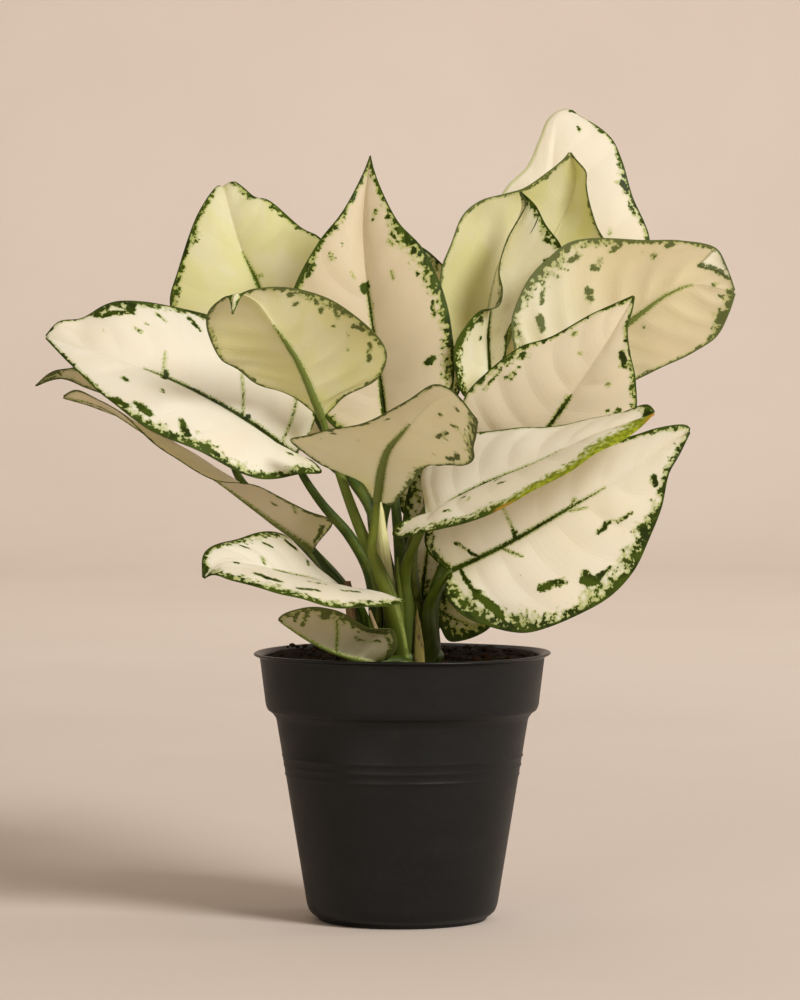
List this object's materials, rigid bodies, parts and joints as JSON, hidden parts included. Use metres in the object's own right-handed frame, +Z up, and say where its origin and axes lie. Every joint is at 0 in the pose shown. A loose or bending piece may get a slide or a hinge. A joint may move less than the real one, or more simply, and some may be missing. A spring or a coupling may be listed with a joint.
{
  "type": "potted kiwi chinese evergreen",
  "caption": "Potted aroid house plant: broad cream leaves with speckled green margins on slim green stalks, standing in a plain black tapered nursery pot filled with soil.",
  "frame": {"origin": "centre of the pot's foot ring, on the surface that the pot stands on", "axes": "+Z up along the pot's axis, +X to the viewer's right, +Y away from the viewer of the plant's front"},
  "size_m": [0.2805, 0.2193, 0.3309],
  "materials": {
    "pot": "black moulded plastic, matte with a slightly shiny lip",
    "soil": "dark, crumbly potting soil with bark crumbs",
    "stalk": "smooth, satin green",
    "blade": "satin cream leaf with mottled green margins and a green midrib",
    "shaded_blade": "paler, matte underside with a yellow-green tone",
    "young": "satin cream and pale green",
    "dry": "dry, papery yellow-brown"
  },
  "bodies": {
    "root": {"pot": "pot", "soil": "soil", "shoot_left": "stalk", "shoot_centre": "stalk", "shoot_right": "stalk", "shoot_back": "stalk", "blade_far_left": "blade", "blade_behind_far_left": "blade", "blade_left_under": "blade", "blade_upper_left": "blade", "blade_front_round": "shaded_blade", "blade_centre": "blade", "blade_front_centre": "blade", "blade_top_right": "blade", "blade_funnel": "shaded_blade", "blade_narrow": "blade", "blade_right_under": "shaded_blade", "blade_right_middle": "blade", "blade_right_front": "blade", "blade_lower_right": "blade", "blade_lower_left": "blade", "blade_at_rim": "blade", "blade_small_right": "blade", "blade_behind_stalks": "blade", "blade_back_centre": "blade", "blade_back_right": "blade", "blade_back_left": "blade", "young_leaf": "young", "brown_stub": "dry", "tan_stub": "dry", "dry_sheath": "dry"}
  },
  "joints": []
}
